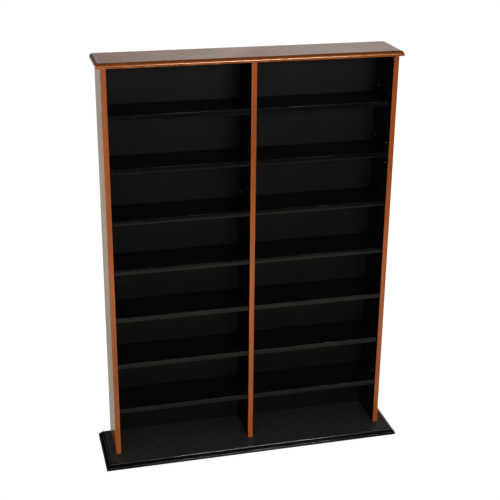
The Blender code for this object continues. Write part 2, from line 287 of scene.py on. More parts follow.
def addBump(tree, shader, height, strength, distance):
    inputs = {"Strength": strength, "Distance": distance, "Height": height}
    bump = addNode(tree, "ShaderNodeBump", (-200, -250), inputs)
    feed(tree, shader.inputs["Normal"], bump.outputs["Normal"])


def addWorn(tree, shader, where, amount, colour, rubbed):
    edge = addNode(tree, "ShaderNodeAttribute", (-650, -350), attribute_name="edge")
    inputs = {"Vector": where, "Edge": edge.outputs["Fac"], "Amount": amount}
    mask = useGroup(tree, wearGroup, (-450, -350), inputs)["Mask"]
    feed(tree, shader.inputs["Base Color"], addBlend(tree, (-200, 300), mask, colour, rubbed))


def addHandled(tree, shader, where, gloss):
    inputs = {"Vector": where, "Low": gloss[0], "High": gloss[1]}
    feed(tree, shader.inputs["Roughness"], useGroup(tree, glossGroup, (-450, 0), inputs)["Roughness"])


# Cherry foil; each use has its figure, gloss from and to, rub on the corners and shift of the pattern
cherry = {
    "tones": (0.12, 0.5, 0.92),
    "colours": ((0.17, 0.034, 0.004), (0.29, 0.066, 0.0085), (0.39, 0.105, 0.018)),
    "rubbed": (0.42, 0.17, 0.07),
    "driftNoise": (2.4, 2.0),
    "driftSpread": (0.3, 0.7),
    "drift": (0.88, 1.1),
    "bump": 0.00002,
    "ior": 1.45,
    "turns": {"x": (0, math.pi / 2, 0), "y": (math.pi / 2, 0, 0), "z": (0, 0, 0)},
}
# The mouldings take the cherry at a darker tone (depth 0.66): painted shade on their rounds
moulded = {
    "figure": 0.03, "gloss": (0.15, 0.17), "rub": 0.5, "depth": 0.66, "shine": (1.0, 0.72, 0.5),
    "relief": 0.05,
}
cherryLooks = {
    "cherryZ": {"name": "cherryUpright", "axis": "z", "figure": 0.10, "gloss": (0.20, 0.30), "rub": 0.4},
    "cherryX": {"name": "cherryTop", "axis": "x", "figure": 0.08, "gloss": (0.22, 0.32), "rub": 0.4},
    "bandZ": {
        "name": "cherryEdgeBand", "axis": "z", "figure": 0.03, "gloss": (0.16, 0.24), "rub": 0.2,
        "shift": (0.31, 0.07, 0.4),
    },
    "mouldX": {"name": "cherryMouldingAcross", "axis": "x", "shift": (0.2, 0.5, 0.1), **moulded},
    "mouldY": {"name": "cherryMouldingSide", "axis": "y", "shift": (0.6, 0.1, 0.3), **moulded},
}


def cherryMaterial(name, axis, figure, gloss, rub, shift=(0, 0, 0), depth=1.0, shine=(1, 1, 1), relief=0.5):
    material, tree, shader, where = startMaterial(name)
    turned = addStretch(tree, (-1250, 0), where, (1, 1, 1), cherry["turns"][axis], shift)
    wood = useGroup(tree, grainGroup, (-950, 150), {"Vector": turned, "Figure": figure})
    colour = addRamp(tree, (-700, 250), wood["Tone"], cherry["tones"], cherry["colours"])
    drift = addNoise(tree, (-950, 500), turned, *cherry["driftNoise"])
    # depth scales the whole tone down; on the mouldings this is painted shade
    darkest, lightest = (share * depth for share in cherry["drift"])
    drift = addRange(tree, (-700, 500), drift, *cherry["driftSpread"], darkest, lightest)
    toned = addNode(tree, "ShaderNodeVectorMath", (-450, 350), {0: colour, "Scale": drift}, operation="SCALE")
    addWorn(tree, shader, where, rub, toned.outputs["Vector"], cherry["rubbed"])
    addHandled(tree, shader, where, gloss)
    shader.inputs["IOR"].default_value = cherry["ior"]
    shader.inputs["Specular Tint"].default_value = (*shine, 1)
    addBump(tree, shader, wood["Height"], relief, cherry["bump"])
    return material


# Black foil; each use has two tones, the strength of its shine and the depth of its pebbling. The uses are
# lit and shaded copies of one black laminate: the base top's lighter tones are painted light, the darker
# tones elsewhere painted shade
black = {
    "mottleNoise": (60.0, 3.0, 0.6),
    "tones": (0.35, 0.65),
    "rubbed": (0.07, 0.062, 0.055),
    "pebbleNoise": (620.0, 2.0, 0.55),
    "pebble": 0.55,
    "ior": 1.45,
}
blackLooks = {
    # the bays' laminate, far darker than the base top: painted shade
    "black": {
        "name": "blackLaminateShaded", "colours": ((0.003, 0.0029, 0.0029), (0.0065, 0.0062, 0.006)),
        "specular": 0.15, "emboss": 0.00005, "gloss": (0.4, 0.5), "rub": 0.3,
    },
    # the shelves' front bands, far darker than the base top: painted shade
    "blackBand": {
        "name": "blackEdgeBand", "colours": ((0.0017, 0.0016, 0.0016), (0.004, 0.0038, 0.0037)),
        # the strong rub on the band's rounded arrises is partly wear and partly painted highlight
        "specular": 0.2, "emboss": 0.00001, "gloss": (0.14, 0.2), "rub": 0.8,
    },
    # the base top, lighter than the rest of the black: painted light
    "blackBase": {
        "name": "blackBaseTopLit", "colours": ((0.024, 0.0238, 0.0235), (0.04, 0.0397, 0.0391)),
        "specular": 0.15, "emboss": 0.00004, "gloss": (0.42, 0.54), "rub": 0.3,
    },
    # the base moulding, darkest of all so that its slope stays black: painted shade
    "blackMould": {
        "name": "blackMouldingShaded", "colours": ((0.0006, 0.0006, 0.0006), (0.0016, 0.0015, 0.0015)),
        # the strong rub on the moulding's arrises is partly wear and partly painted highlight
        "specular": 0.9, "emboss": 0.000001, "gloss": (0.1, 0.14), "rub": 0.6,
    },
}


def blackMaterial(name, colours, specular, emboss, gloss, rub):
    material, tree, shader, where = startMaterial(name)
    mottle = addNoise(tree, (-950, 250), where, *black["mottleNoise"])
    colour = addRamp(tree, (-700, 250), mottle, black["tones"], colours)
    addWorn(tree, shader, where, rub, colour, black["rubbed"])
    addHandled(tree, shader, where, gloss)
    shader.inputs["IOR"].default_value = black["ior"]
    shader.inputs["Specular IOR Level"].default_value = specular
    pebble = addNoise(tree, (-950, -150), where, *black["pebbleNoise"])
    addBump(tree, shader, pebble, black["pebble"], emboss)
    return material


# Raw chipboard, where a board is cut: small flakes with dust between them
chips = {
    "warpNoise": (90.0, 2.0),
    "warp": (0.002, 0.002, 0.002),
    "scale": 330.0,
    "tones": (0.0, 0.45, 1.0),
    "colours": ((0.16, 0.085, 0.04), (0.36, 0.22, 0.12), (0.58, 0.42, 0.26)),
    "dustNoise": (1500.0, 2.0),
    "dustCut": (0.3, 0.8),
    "dustColour": (0.36, 0.22, 0.12),
    "spread": (0.3, 0.7),
    "gloss": (0.78, 0.95),
    "bump": (0.8, 0.0002),
}


def chipMaterial():
    material, tree, shader, where = startMaterial("rawChipboard")
    warp = addNoise(tree, (-1250, 300), where, *chips["warpNoise"])
    inputs = {0: warp, 1: chips["warp"], 2: where}
    bent = addNode(tree, "ShaderNodeVectorMath", (-1080, 300), inputs, operation="MULTIPLY_ADD")
    inputs = {"Vector": bent.outputs["Vector"], "Scale": chips["scale"], "Randomness": 1.0}
    flakes = addNode(tree, "ShaderNodeTexVoronoi", (-900, 250), inputs).outputs
    pick = addNode(tree, "ShaderNodeSeparateColor", (-700, 250), {"Color": flakes["Color"]}).outputs[0]
    colour = addRamp(tree, (-500, 250), pick, chips["tones"], chips["colours"])
    dust = addNoise(tree, (-900, -50), where, *chips["dustNoise"])
    dusty = addRange(tree, (-700, -50), dust, *chips["dustCut"])
    feed(tree, shader.inputs["Base Color"], addBlend(tree, (-200, 250), dusty, colour, chips["dustColour"]))
    feed(tree, shader.inputs["Roughness"], addRange(tree, (-450, 0), dust, *chips["spread"], *chips["gloss"]))
    addBump(tree, shader, addMath(tree, (-450, -250), "ADD", flakes["Distance"], dust), *chips["bump"])
    return material


# Fibreboard: fine felted fibres, and the screen's print on the rear of a hardboard sheet
felt = {
    "noise": (260.0, 5.0, 0.7, 0.4),
    "cloudNoise": (14.0, 3.0, 0.6),
    "share": 0.6,
    "cloudShare": 0.4,
    "tones": (0.36, 0.64),
    "spread": (0.3, 0.7),
    "screenWarp": 0.4,
    "underScreen": 0.6,
    "bump": (0.6, 0.00012),
}
boardLooks = {
    "mdf": {
        "name": "rawFibreboard", "colours": ((0.24, 0.15, 0.085), (0.38, 0.25, 0.15)), "gloss": (0.75, 0.92),
    },
    # the back's face in the bays, darkened like the bays' laminate: painted shade
    "backFront": {
        "name": "blackHardboardShaded", "colours": ((0.0022, 0.0021, 0.0021), (0.0048, 0.0046, 0.0045)),
        "gloss": (0.42, 0.52), "specular": 0.06,
    },
    "backRear": {
        "name": "rawHardboard", "colours": ((0.115, 0.058, 0.03), (0.2, 0.11, 0.06)),
        "gloss": (0.6, 0.8), "screen": 200.0,
    },
    "beech": {
        "name": "beechDowel", "colours": ((0.5, 0.34, 0.2), (0.66, 0.48, 0.31)), "gloss": (0.5, 0.65),
    },
}


def boardMaterial(name, colours, gloss, screen=0.0, specular=0.4):
    material, tree, shader, where = startMaterial(name)
    shader.inputs["Specular IOR Level"].default_value = specular
    fibres = addNoise(tree, (-1000, 250), where, *felt["noise"])
    cloud = addNoise(tree, (-1000, 0), where, *felt["cloudNoise"])
    cloud = addMath(tree, (-850, 0), "MULTIPLY", cloud, felt["cloudShare"])
    both = addMath(tree, (-700, 200), "MULTIPLY_ADD", fibres, felt["share"], cloud)
    feed(tree, shader.inputs["Base Color"], addRamp(tree, (-500, 250), both, felt["tones"], colours))
    feed(tree, shader.inputs["Roughness"], addRange(tree, (-450, 0), fibres, *felt["spread"], *gloss))
    height = fibres
    if screen:
        weave = []
        for axis, y in (("X", -300), ("Z", -550)):
            inputs = {"Vector": where, "Scale": screen, "Distortion": felt["screenWarp"], "Detail": 1.0}
            wave = addNode(tree, "ShaderNodeTexWave", (-1000, y), inputs, bands_direction=axis)
            weave.append(wave.outputs["Fac"])
        printed = addMath(tree, (-750, -400), "MULTIPLY", *weave)
        under = addMath(tree, (-700, -150), "MULTIPLY", fibres, felt["underScreen"])
        height = addMath(tree, (-500, -300), "ADD", printed, under)
    addBump(tree, shader, height, *felt["bump"])
    return material


# Drawn or pressed metal, tarnished in small spots
metal = {
    "tarnishNoise": (420.0, 4.0, 0.65),
    "tones": (0.35, 0.65),
    "spread": (0.3, 0.7),
    "drawnStretch": (1, 0.04, 1),
    "drawnDetail": 2.0,
    "bump": (0.4, 0.00002),
}
metalLooks = {
    "zinc": {
        "name": "zincWire", "colours": ((0.5, 0.5, 0.5), (0.68, 0.68, 0.67)), "gloss": (0.24, 0.4),
        "drawn": 500.0,
    },
    "screw": {
        "name": "yellowedScrew", "colours": ((0.42, 0.36, 0.22), (0.62, 0.54, 0.36)), "gloss": (0.24, 0.4),
        "drawn": 700.0,
    },
    "nail": {
        "name": "nailSteel", "colours": ((0.32, 0.31, 0.3), (0.5, 0.49, 0.48)), "gloss": (0.3, 0.5),
        "drawn": 700.0,
    },
}


def metalMaterial(name, colours, gloss, drawn):
    material, tree, shader, where = startMaterial(name)
    tarnish = addNoise(tree, (-1000, 250), where, *metal["tarnishNoise"])
    feed(tree, shader.inputs["Base Color"], addRamp(tree, (-600, 250), tarnish, metal["tones"], colours))
    feed(tree, shader.inputs["Roughness"], addRange(tree, (-600, 0), tarnish, *metal["spread"], *gloss))
    shader.inputs["Metallic"].default_value = 1.0
    stretched = addStretch(tree, (-1250, -250), where, metal["drawnStretch"])
    lines = addNoise(tree, (-1000, -250), stretched, drawn, metal["drawnDetail"])
    addBump(tree, shader, lines, *metal["bump"])
    return material


finish = {"chip": chipMaterial()}
makers = [
    (cherryMaterial, cherryLooks),
    (blackMaterial, blackLooks),
    (boardMaterial, boardLooks),
    (metalMaterial, metalLooks),
]
for makeMaterial, looks in makers:
    for key, look in looks.items():
        finish[key] = makeMaterial(**look)
print("materials made:", len(finish))


# Meshes
sharpAngle = 30       # degrees
boardEdge = {"arris": 0.0003, "backArris": 0.0002, "steps": 2}


def camelName(node):
    first, *others = node.split("_")
    return first + "".join(word.capitalize() for word in others)


def newPiece(name, solid, materials, body, nodes, smooth=False):
    mesh = bpy.data.meshes.new(name)
    solid.to_mesh(mesh)
    solid.free()
    for material in materials:
        mesh.materials.append(finish[material])
    if smooth:
        mesh.shade_smooth()
        mesh.set_sharp_from_angle(angle=math.radians(sharpAngle))
    piece = bpy.data.objects.new(name, mesh)
    bpy.context.scene.collection.objects.link(piece)
    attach(piece, body)
    if nodes:
        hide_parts(*nodes)
    return piece


# Rounds the given edges and marks the new faces, so that wear finds them
def easeEdges(solid, lines, offset, steps):
    edge = solid.faces.layers.float["edge"]
    made = bmesh.ops.bevel(
        solid, geom=lines, offset=offset, offset_type="OFFSET", segments=steps,
        profile=0.5, affect="EDGES", material=-1)
    for face in made["faces"]:
        face[edge] = 1


def addBlock(solid, low, high):
    middle = (Vector(low) + Vector(high)) / 2
    size = Matrix.Diagonal((*(Vector(high) - Vector(low)), 1))
    bmesh.ops.create_cube(solid, size=1, matrix=Matrix.Translation(middle) @ size)


def blockSolid(low, high):
    solid = bmesh.new()
    solid.faces.layers.float.new("edge")
    addBlock(solid, low, high)
    return solid


def boardSolid(low, high, arris=boardEdge["arris"]):
    solid = blockSolid(low, high)
    easeEdges(solid, solid.edges[:], arris, boardEdge["steps"])
    return solid


# A round bar or a hole from one point to another
def addRod(solid, start, end, radius, sides):
    start, end = Vector(start), Vector(end)
    turn = (end - start).to_track_quat("Z", "Y").to_matrix().to_4x4()
    bmesh.ops.create_cone(
        solid, cap_ends=True, segments=sides, radius1=radius, radius2=radius,
        depth=(end - start).length, matrix=Matrix.Translation((start + end) / 2) @ turn)


# A profile of radius and height turned about Z
def turnedSolid(profile, steps):
    solid = bmesh.new()
    points = [solid.verts.new((radius, 0, z)) for radius, z in profile]
    lines = [solid.edges.new(pair) for pair in zip(points, points[1:])]
    bmesh.ops.spin(solid, geom=points + lines, cent=(0, 0, 0), axis=(0, 0, 1), dvec=(0, 0, 0),
                   angle=math.tau, steps=steps, use_merge=True, use_duplicate=False)
    bmesh.ops.remove_doubles(solid, verts=solid.verts, dist=flush)
    bmesh.ops.recalc_face_normals(solid, faces=solid.faces)
    return solid


# The first solid with the second cut from it or joined to it
def carve(solid, tool, operation="DIFFERENCE"):
    pair = []
    for shape in (solid, tool):
        mesh = bpy.data.meshes.new("carving")
        shape.to_mesh(mesh)
        shape.free()
        thing = bpy.data.objects.new("carving", mesh)
        bpy.context.scene.collection.objects.link(thing)
        pair.append(thing)
    boolean = pair[0].modifiers.new("carve", "BOOLEAN")
    boolean.operation = operation
    boolean.solver = "EXACT"
    boolean.object = pair[1]
    shown = pair[0].evaluated_get(bpy.context.evaluated_depsgraph_get())
    carved = bmesh.new()
    carved.from_mesh(shown.to_mesh())
    shown.to_mesh_clear()
    for thing in pair:
        mesh = thing.data
        bpy.data.objects.remove(thing)
        bpy.data.meshes.remove(mesh)
    return carved


facing = {"left": (0, -1), "right": (0, 1), "front": (1, -1), "bottom": (2, -1), "top": (2, 1)}
skinning = {
    "reach": 0.00035,     # a little more than an arris
    "slant": 0.6,         # how squarely a face has to look outwards
}


# Gives each face near an outer plane its skin; the rest keeps material 0
def skin(solid, low, high, skins):
    for face in solid.faces:
        centre = face.calc_center_median()
        for side, index in skins.items():
            axis, sign = facing[side]
            plane = (low, high)[sign > 0][axis]
            near = abs(centre[axis] - plane) < skinning["reach"]
            if near and face.normal[axis] * sign > skinning["slant"]:
                face.material_index = index


# Top and base: boards edged with mitred mouldings
edging = {
    "topRound": 0.011,
    "topUnder": 0.0048,
    "lipHeight": 0.0085,
    "lipRound": 0.001,
    "lipTurn": 40,          # degrees
    "slopeWidth": 0.0113,
    "slopeBulge": 0.0008,
    "shoulderStep": 0.0018,
    "shoulderRound": 0.0016,
    "bigSteps": 28,
    "slopeSteps": 14,
    "smallSteps": 8,
    "footSteps": 4,
    "mitreSeam": 0.00006,
    "sawn": 0.99,           # a face that looks rearwards this squarely is a cut end
    "flat": 0.98,           # and one that looks up or down this squarely has no rub
}


def arc(centre, radius, start, end, steps):
    points = []
    for step in range(steps + 1):
        angle = math.radians(start + (end - start) * step / steps)
        points.append((centre[0] + radius * math.cos(angle), centre[1] + radius * math.sin(angle)))
    return points


# A line that swells outwards by a height in its middle
def bulgedLine(start, end, height, steps):
    start, end = Vector(start), Vector(end)
    run = end - start
    outward = Vector((run.y, -run.x)).normalized()
    points = []
    for step in range(1, steps + 1):
        share = step / steps
        points.append(tuple(start + run * share + outward * 4 * height * share * (1 - share)))
    return points


def topProfile(width):
    under, big = edging["topUnder"], edging["topRound"]
    points = [(-closed, 0)]
    points += arc((width - under, under), under, -90, 0, edging["smallSteps"])
    points += arc((width - big, board - big), big, 0, 90, edging["bigSteps"])
    return points + [(-closed, board)]


# From the foot up: lip, bulged slope, shoulder
def baseProfile(width):
    high, small, foot = edging["lipHeight"], edging["lipRound"], edging["lipRound"] / 2
    shoulder, corner = width - edging["slopeWidth"], edging["shoulderRound"]
    slopeTop = (shoulder, board - edging["shoulderStep"])
    points = [(-closed, 0)]
    points += arc((width - foot, foot), foot, -90, 0, edging["footSteps"])
    points += arc((width - small, high - small), small, 0, edging["lipTurn"], edging["smallSteps"])
    points += bulgedLine(points[-1], slopeTop, edging["slopeBulge"], edging["slopeSteps"])
    points += arc((shoulder - corner, board - corner), corner, 0, 90, edging["smallSteps"])
    return points + [(-closed, board)]


# A section drawn along a line, then cut by planes that face the waste
def runStrip(profile, inner, outward, along, start, end, cuts):
    solid = bmesh.new()
    inner, outward, along = Vector(inner), Vector(outward), Vector(along)
    first = inner + along * start
    corners = [solid.verts.new(first + outward * out + Vector((0, 0, up))) for out, up in profile]
    section = solid.faces.new(corners)
    grown = bmesh.ops.extrude_face_region(solid, geom=[section])["geom"]
    moved = [item for item in grown if isinstance(item, bmesh.types.BMVert)]
    bmesh.ops.translate(solid, vec=along * (end - start), verts=moved)
    for point, away in cuts:
        made = bmesh.ops.bisect_plane(
            solid, geom=solid.verts[:] + solid.edges[:] + solid.faces[:], plane_co=point, plane_no=away,
            clear_outer=True)
        rim = [item for item in made["geom_cut"] if isinstance(item, bmesh.types.BMEdge)]
        bmesh.ops.edgeloop_fill(solid, edges=rim)
    bmesh.ops.recalc_face_normals(solid, faces=solid.faces)
    return solid


def mouldedEdge(prefix, profileOf, low, high, materials, rubbed):
    nodes = {side: f"{prefix}_moulding_{side}" for side in ("front", "left", "right")}
    width = low.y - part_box(nodes["front"])[0].y - frameGap
    profile = profileOf(width)
    front, half = low.y - frameGap, high.x + frameGap
    spare = 2 * width       # cut off again at the mitres
    across, along = materials
    for side, sign in (("front", 0), ("left", -1), ("right", 1)):
        if sign:
            mitres = [((sign * (half + edging["mitreSeam"]), front, 0), (-sign, -1, 0))]
            solid = runStrip(
                profile, (sign * half, 0, low.z), (sign, 0, 0), (0, 1, 0), front - spare, rearY, mitres)
        else:
            mitres = [((end * half, front, 0), (end, 1, 0)) for end in (-1, 1)]
            solid = runStrip(
                profile, (0, front, low.z), (0, -1, 0), (1, 0, 0), -half - spare, half + spare, mitres)
        edge = solid.faces.layers.float.new("edge")
        for face in solid.faces:
            up = face.calc_center_median().z - low.z
            if face.normal.y > edging["sawn"] and sign:
                face.material_index = 1
            elif abs(face.normal.z) < edging["flat"] and any(bottom < up < top for bottom, top in rubbed):
                face[edge] = 1
        newPiece(f"{prefix}Moulding{side.capitalize()}", solid, [along if sign else across, "mdf"],
                 "cabinet", [nodes[side]], smooth=True)


# Dowels in the top and the middle shelves, and screws up through the base
dowel = {"radius": 0.004, "sides": 32, "shelfSeat": 0.0075, "topSeat": 0.011, "spare": 0.001}
screw = {
    "sunk": 0.001,
    "length": 0.050,
    "headRadius": 0.005,
    "headHeight": 0.0025,
    "taper": 0.0015,
    "shankRadius": 0.0035,
    "threadRadius": 0.003,
    "socketRadius": 0.0023,
    "socketDepth": 0.002,
    "socketSides": 6,
    "point": 0.002,
    "step": 0.0005,
    "chamfer": 0.0004,
    "sides": 32,
}


def makeTop():
    solid = boardSolid(topLow, topHigh)
    holes = bmesh.new()
    roof = topLow.z + dowel["topSeat"] + dowel["spare"]
    for x in uprightX.values():
        for y in rowYs:
            addRod(holes, (x, y, topLow.z - past), (x, y, roof), dowel["radius"] + frameGap, dowel["sides"])
    solid = carve(solid, holes)
    skin(solid, topLow, topHigh, {"top": 1, "bottom": 2})
    newPiece("topBoard", solid, ["chip", "cherryX", "black"], "cabinet", ["top_panel"])
    mouldedEdge("top", topProfile, topLow, topHigh, ("mouldX", "mouldY"),
                [(0, edging["topUnder"])])


def makeBase():
    solid = boardSolid(baseLow, baseHigh)
    heads, shanks = bmesh.new(), bmesh.new()
    seat = screw["sunk"] + screw["headHeight"] + screw["taper"]
    headHole, shankHole = screw["headRadius"] + frameGap, screw["shankRadius"] + frameGap
    for x in uprightX.values():
        for y in rowYs:
            addRod(heads, (x, y, -past), (x, y, seat), headHole, screw["sides"])
            addRod(shanks, (x, y, screw["sunk"]), (x, y, baseHigh.z + past), shankHole, screw["sides"])
    solid = carve(carve(solid, heads), shanks)
    skin(solid, baseLow, baseHigh, {"top": 1})
    newPiece("baseBoard", solid, ["chip", "blackBase"], "cabinet", ["base_panel"])
    # The light rub on the lip's and the shoulder's arrises is partly wear and partly painted highlight: the
    # moulding's two light lines
    mouldedEdge("base", baseProfile, baseLow, baseHigh, ("blackMould", "blackMould"),
                [(edging["lipHeight"] - edging["lipRound"], edging["lipHeight"]),
                 (board - edging["shoulderStep"], board)])


def makeScrews():
    neck = screw["headHeight"] + screw["taper"]
    shankEnd = board - screw["sunk"]
    profile = [
        (0, screw["length"]),
        (screw["threadRadius"], screw["length"] - screw["point"]),
        (screw["threadRadius"], shankEnd + screw["step"]),
        (screw["shankRadius"], shankEnd),
        (screw["shankRadius"], neck),
        (screw["headRadius"], screw["headHeight"]),
        (screw["headRadius"], screw["chamfer"]),
        (screw["headRadius"] - screw["chamfer"], 0),
        (0, 0),
    ]
    for name, side in (("left_side", "left"), ("centre_divider", "centre"), ("right_side", "right")):
        for y, row in zip(rowYs, ("front", "rear")):
            socket = bmesh.new()
            addRod(socket, (0, 0, -past), (0, 0, screw["socketDepth"]), screw["socketRadius"],
                   screw["socketSides"])
            solid = carve(turnedSolid(profile, screw["sides"]), socket)
            bmesh.ops.translate(solid, vec=(uprightX[name], y, screw["sunk"]), verts=solid.verts)
            newPiece(f"baseScrew{side.capitalize()}{row.capitalize()}", solid, ["screw"], "cabinet",
                     [f"base_screw_{side}_{row}"], smooth=True)


# Uprights, drilled for the shelf wires and the dowels
drilling = {
    "pitch": 0.032, "wireSeat": 0.0075, "dowelSeat": 0.0075, "spare": 0.001, "pilotTop": 0.052, "sides": 20,
}
uprightSkins = {          # which of the piece's materials is on each face
    "left_side": {"left": 1, "right": 2},
    "centre_divider": {"left": 2, "right": 2},
    "right_side": {"left": 2, "right": 1},
}


# A hole from the bays: blind in a side, right through in the divider
def addInnerHole(holes, name, y, z, seat, radius):
    x = uprightX[name]
    place = (x > nearMiddle) - (x < -nearMiddle)
    if place:
        face = x - place * board / 2
        ends = (face - place * past, face + place * (seat + drilling["spare"]))
    else:
        ends = (x - board / 2 - past, x + board / 2 + past)
    addRod(holes, (ends[0], y, z), (ends[1], y, z), radius + frameGap, drilling["sides"])


def makeUprights():
    for name, skins in uprightSkins.items():
        low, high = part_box(name)
        low.z -= closed
        high.z = topLow.z - seam
        x = uprightX[name]
        pins, holes = bmesh.new(), bmesh.new()
        for y in rowYs:
            addRod(pins, (x, y, high.z - past), (x, y, topLow.z + dowel["topSeat"]),
                   dowel["radius"], dowel["sides"])
            addInnerHole(holes, name, y, shelfZ[fixedLevel], drilling["dowelSeat"], dowel["radius"])
            addRod(holes, (x, y, low.z - past), (x, y, drilling["pilotTop"]),
                   screw["threadRadius"] + frameGap, drilling["sides"])
            for level in levels:
                for step in (-1, 0, 1):
                    if level != fixedLevel:
                        z = shelfZ[level] + step * drilling["pitch"]
                        addInnerHole(holes, name, y, z, drilling["wireSeat"], wireRadius)
        solid = carve(carve(boardSolid(low, high), pins, "UNION"), holes)
        skin(solid, low, high, skins)
        for face in solid.faces:
            if face.calc_center_median().z > topLow.z:
                face.material_index = 3
        newPiece(camelName(name) + "Board", solid, ["chip", "cherryZ", "black", "beech"], "cabinet", [name])


band = {"round": 0.0015, "steps": 8}


def frontEdges(solid, y):
    return [line for line in solid.edges if all(abs(vertex.co.y - y) < flush for vertex in line.verts)]


def makeBands():
    for name in uprightX:
        low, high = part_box(f"{name}_edge_band")
        low.z -= closed
        high.z += closed
        high.y += closed
        solid = blockSolid(low, high)
        tall = [line for line in frontEdges(solid, low.y) if line.calc_length() > high.x - low.x + flush]
        easeEdges(solid, tall, band["round"], band["steps"])
        newPiece(camelName(name) + "EdgeBand", solid, ["bandZ"], "cabinet", [f"{name}_edge_band"],
                 smooth=True)


# Shelves: laminated boards with a band on the front, and kerfs that run over the wires
shelf = {"band": 0.001, "bandRound": 0.0005, "bandSteps": 4, "kerfSpare": 0.0005, "past": 0.003}


def makeShelf(side, level):
    name = f"{side}_shelf_{level}"
    low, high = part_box(name)
    body = "cabinet" if level == fixedLevel else name
    faces = columnFaces[side]
    z = shelfZ[level]
    tools = bmesh.new()
    if level == fixedLevel:
        low.x, high.x = faces[0] + seam, faces[1] - seam
        for face, inward in zip(faces, (1, -1)):
            start, end = face + inward * shelf["past"], face - inward * dowel["shelfSeat"]
            for y in rowYs:
                addRod(tools, (start, y, z), (end, y, z), dowel["radius"], dowel["sides"])
    else:
        half = wireRadius + frameGap
        floor = wireHigh.x - columnFaces["left"][0] + shelf["kerfSpare"]
        for face, inward in zip(faces, (1, -1)):
            ends = sorted((face - inward * shelf["past"], face + inward * floor))
            addBlock(tools, (ends[0], rowYs[0] - half, z - half), (ends[1], high.y + shelf["past"], z + half))
    boardLow = Vector((low.x, low.y + shelf["band"] + seam, low.z))
    solid = carve(boardSolid(boardLow, high), tools, "UNION" if level == fixedLevel else "DIFFERENCE")
    skin(solid, boardLow, high, {"top": 1, "bottom": 1})
    for face in solid.faces:
        if level == fixedLevel and not faces[0] < face.calc_center_median().x < faces[1]:
            face.material_index = 2
    newPiece(f"{side}Shelf{level}", solid, ["chip", "black", "beech"], body, [name])

    solid = blockSolid(low, (high.x, low.y + shelf["band"], high.z))
    easeEdges(solid, frontEdges(solid, low.y), shelf["bandRound"], shelf["bandSteps"])
    newPiece(f"{side}Shelf{level}Front", solid, ["blackBand"], body, [], smooth=True)


# Bent wires: plug end, bend, run, bend, plug end
wire = {"sides": 16, "bend": 0.003, "bendSteps": 8, "chamfer": 0.0004}


def pushRing(solid, ring, vec, grow=1.0):
    made = bmesh.ops.extrude_edge_only(solid, edges=ring)["geom"]
    points = [item for item in made if isinstance(item, bmesh.types.BMVert)]
    bmesh.ops.translate(solid, vec=vec, verts=points)
    if grow != 1.0:
        middle = sum((point.co for point in points), Vector()) / len(points)
        bmesh.ops.scale(solid, vec=(grow, grow, grow), verts=points, space=Matrix.Translation(-middle))
    fresh = set(points)
    return [item for item in made if isinstance(item, bmesh.types.BMEdge) and set(item.verts) <= fresh]


def turnRing(solid, ring, centre, inward):
    made = bmesh.ops.spin(
        solid, geom=ring, cent=centre, axis=(0, 0, inward), dvec=(0, 0, 0), angle=math.pi / 2,
        steps=wire["bendSteps"], use_duplicate=False)["geom_last"]
    return [item for item in made if isinstance(item, bmesh.types.BMEdge)]


def makeWire(side, level, end):
    node = f"{side}_shelf_{level}_wire_{end}"
    low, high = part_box(node)
    z = (low.z + high.z) / 2
    inward = 1 if end == "left" else -1
    tip, reach = (low.x, high.x - wireRadius) if inward > 0 else (high.x, low.x + wireRadius)
    front, rear = low.y + wireRadius, high.y - wireRadius
    bend, chamfer = wire["bend"], inward * wire["chamfer"]
    thin = wireRadius - wire["chamfer"]
    turnX = reach - inward * bend
    solid = bmesh.new()
    start = Matrix.Translation((tip, front, z)) @ Matrix.Rotation(math.pi / 2 * inward, 4, "Y")
    bmesh.ops.create_circle(solid, cap_ends=True, segments=wire["sides"], radius=thin, matrix=start)
    ring = [line for line in solid.edges if line.is_boundary]
    ring = pushRing(solid, ring, (chamfer, 0, 0), wireRadius / thin)
    ring = pushRing(solid, ring, (turnX - tip - chamfer, 0, 0))
    ring = turnRing(solid, ring, (turnX, front + bend, z), inward)
    ring = pushRing(solid, ring, (0, rear - front - 2 * bend, 0))
    ring = turnRing(solid, ring, (turnX, rear - bend, z), inward)
    ring = pushRing(solid, ring, (tip + chamfer - turnX, 0, 0))
    ring = pushRing(solid, ring, (-chamfer, 0, 0), thin / wireRadius)
    bmesh.ops.edgeloop_fill(solid, edges=ring)
    bmesh.ops.recalc_face_normals(solid, faces=solid.faces)
    newPiece(f"{side}Shelf{level}Wire{end.capitalize()}", solid, ["zinc"], "cabinet", [node],
             smooth=True)


# Back sheets and the nails that hold them
nail = {
    "headRadius": 0.0026,
    "headHeight": 0.0006,
    "dome": [(0, 1), (0.72, 0.92), (0.95, 0.55), (1, 0.1), (0.96, 0)],   # shares of radius and height
    "neck": 0.0002,
    "shankRadius": 0.0007,
    "length": 0.022,
    "point": 0.002,
    "sides": 14,
    "spacing": 0.145,
    "fromEnd": 0.035,
    "fromSeam": 0.0042,
    "shelfShares": (0.25, 0.5, 0.75),
    "seed": 11,
    "lean": 1.2,          # degrees
    "wander": 0.0012,
    "upDown": 4,          # times the wander
    "level": 0.001,       # a nail closer than this to the middle shelf's height keeps its own
}


def makeBack():
    for side in ("left", "right"):
        low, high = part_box(f"back_sheet_{side}")
        low.y -= closed
        low.z -= closed
        high.z += closed
        solid = boardSolid(low, high, boardEdge["backArris"])
        skin(solid, low, high, {"front": 1})
        newPiece(f"backSheet{side.capitalize()}", solid, ["backRear", "backFront"], "cabinet",
                 [f"back_sheet_{side}"])


